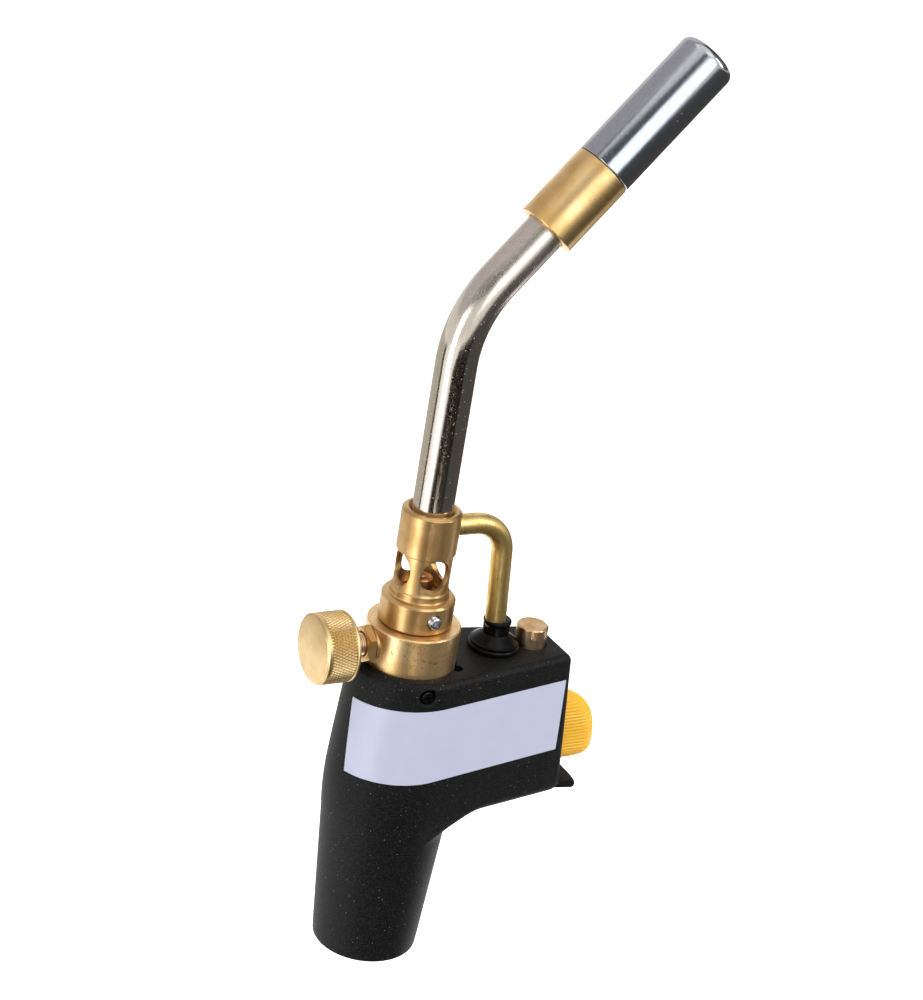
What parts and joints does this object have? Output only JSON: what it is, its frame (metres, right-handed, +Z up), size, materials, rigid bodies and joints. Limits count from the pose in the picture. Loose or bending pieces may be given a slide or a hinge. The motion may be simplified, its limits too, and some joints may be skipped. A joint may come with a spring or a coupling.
{
  "type": "gas torch",
  "caption": "Hand gas torch head for a screw-on gas cylinder: moulded housing, brass valve with a knurled knob, bent burn tube, flame tube, trigger and lock button.",
  "frame": {"origin": "centre of the open mouth of the housing's barrel, where the gas cylinder's neck goes in", "axes": "+Z up along the gas axis, through valve, connector and the straight of the burn tube; +X towards the trigger and the flame; the torch is held by the cylinder below"},
  "size_m": [0.1302, 0.0496, 0.3576],
  "materials": {
    "housing_plastic": "black, fine moulded grain",
    "trigger_plastic": "amber, satin",
    "turned_brass": "satin, turned",
    "tube_steel": "bright drawn tube",
    "dark_steel": "dark, polished",
    "bright_steel": "bright",
    "black_rubber": "glossy",
    "igniter_plastic": "dark grey",
    "ceramic": "ceramic, off-white",
    "spring_steel": "drawn wire",
    "lead_sleeve": "silicone sleeve"
  },
  "bodies": {
    "torch_body": {"housing": "housing_plastic", "valve_body": "turned_brass", "cylinder_socket": "turned_brass", "socket_seal": "black_rubber", "inlet_pin": "turned_brass", "inlet_filter": "turned_brass", "housing_screw": "bright_steel", "gland_nut": "turned_brass", "stem_seal": "black_rubber", "burner_connector": "turned_brass", "connector_grub_screw": "bright_steel", "gas_jet": "turned_brass", "burn_tube": "tube_steel", "tip_sleeve": "turned_brass", "flame_tube": "dark_steel", "flame_holder": "turned_brass", "electrode_insulator": "ceramic", "ignition_electrode": "bright_steel", "conduit_tube": "turned_brass", "conduit_grommet": "black_rubber", "piezo_igniter": "igniter_plastic", "ignition_lead": "lead_sleeve", "plunger_seal": "black_rubber", "valve_spring": "spring_steel", "trigger_spring": "spring_steel", "lock_spring": "spring_steel"},
    "control": {"control_knob": "turned_brass", "control_stem": "turned_brass"},
    "trigger": {"trigger": "trigger_plastic"},
    "igniter_plunger": {"piezo_plunger": "bright_steel"},
    "valve_pin": {"valve_plunger": "bright_steel"},
    "lock": {"lock_button": "turned_brass", "lock_washer": "bright_steel"}
  },
  "joints": [
    {"name": "control_turn", "type": "hinge", "parent": "torch_body", "child": "control", "pos_m": [-0.02715, 0, 0.1302], "axis": [-1, 0, 0], "range_deg": [0, 900]},
    {"name": "trigger_slide", "type": "slide", "parent": "torch_body", "child": "trigger", "axis": [-1, 0, 0], "range_m": [0, 0.006], "stiffness_N_per_m": 1000, "springref_m": -0.006, "deforming": ["trigger_spring"]},
    {"name": "igniter_slide", "type": "slide", "parent": "torch_body", "child": "igniter_plunger", "axis": [-1, 0, 0], "range_m": [0, 0.006]},
    {"name": "valve_slide", "type": "slide", "parent": "torch_body", "child": "valve_pin", "axis": [-1, 0, 0], "range_m": [0, 0.006], "deforming": ["valve_spring"]},
    {"name": "lock_slide", "type": "slide", "parent": "torch_body", "child": "lock", "axis": [0, 0, -1], "range_m": [0, 0.004], "stiffness_N_per_m": 800, "springref_m": -0.003, "deforming": ["lock_spring"]}
  ],
  "couplings": [
    {"joint": "igniter_slide", "follows": "trigger_slide", "ratio": 1},
    {"joint": "valve_slide", "follows": "trigger_slide", "ratio": 1}
  ]
}
